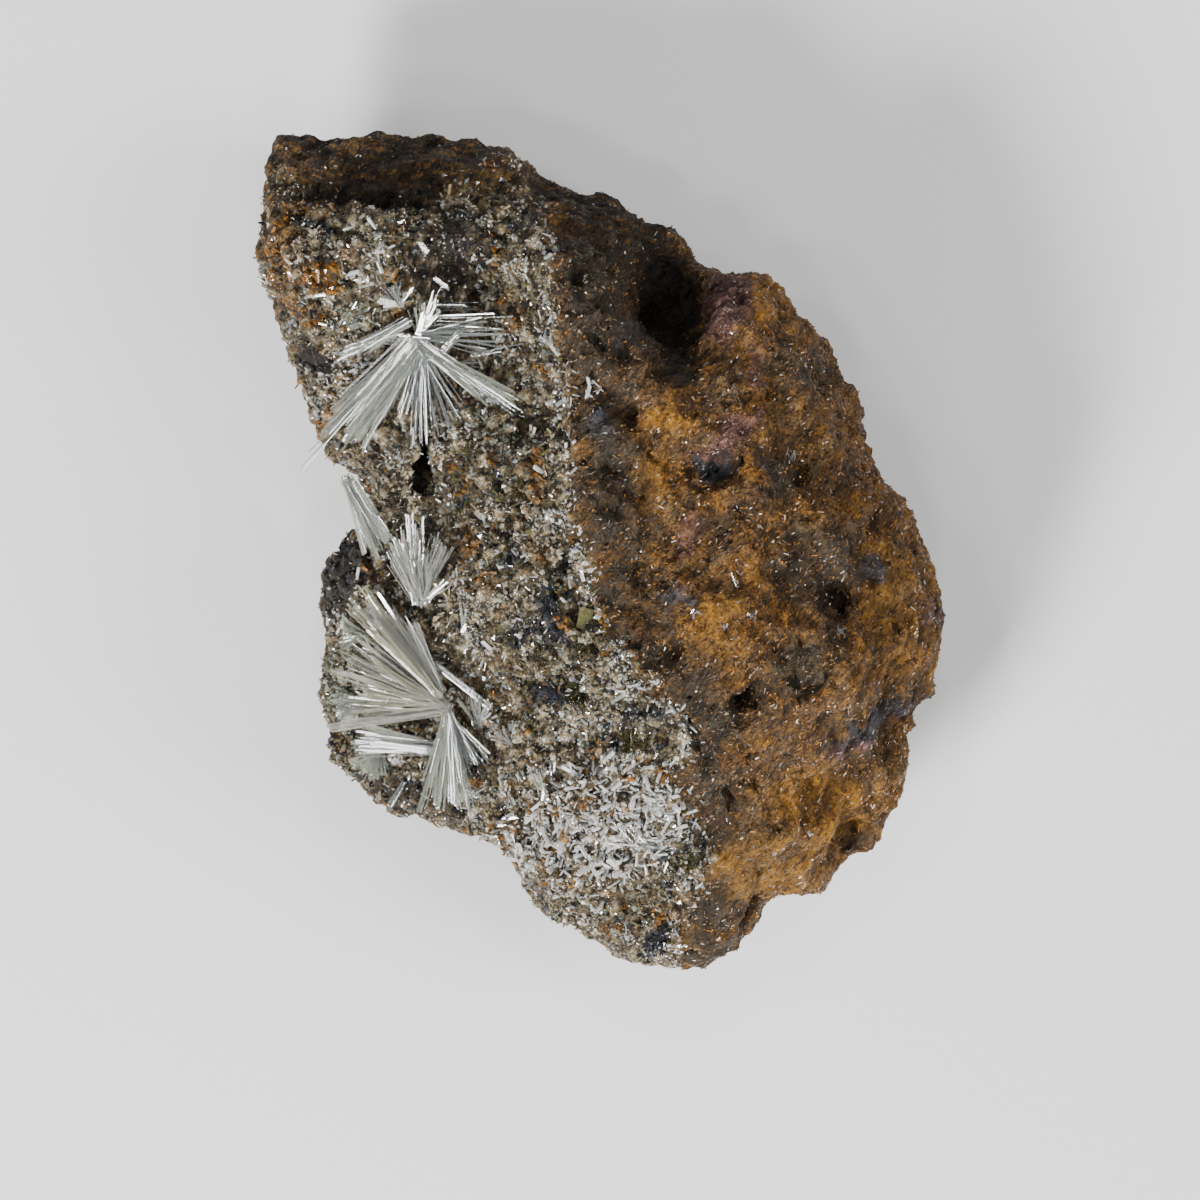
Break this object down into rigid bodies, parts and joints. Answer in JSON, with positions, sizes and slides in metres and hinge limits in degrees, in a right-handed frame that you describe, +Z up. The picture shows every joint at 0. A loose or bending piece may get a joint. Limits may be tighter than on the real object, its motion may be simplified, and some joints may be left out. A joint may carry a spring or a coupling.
{
  "type": "scholzite crystal specimen on matrix",
  "caption": "Hand specimen of scholzite: sprays of clear needle crystals and a pale sugary druse on a block of rusty gossan, lying on its back.",
  "frame": {"origin": "middle of the block's bounding box seen from above, on the surface that it lies on", "axes": "+Z up, out of the face that carries the crystals; +Y along the block's longest side, towards the narrow end with the dark shelf; +X towards the bare rusty side"},
  "size_m": [0.066, 0.0797, 0.039],
  "materials": {
    "rock": "rough iron-stained rock, granular, with a crust of small pale crystals on its left half",
    "crystal": "clear to cream needle crystals with bright flat faces"
  },
  "bodies": {
    "root": {"matrix": "rock", "upper_spray": "crystal", "edge_sheaf": "crystal", "middle_spray": "crystal", "lower_spray": "crystal"}
  },
  "joints": []
}
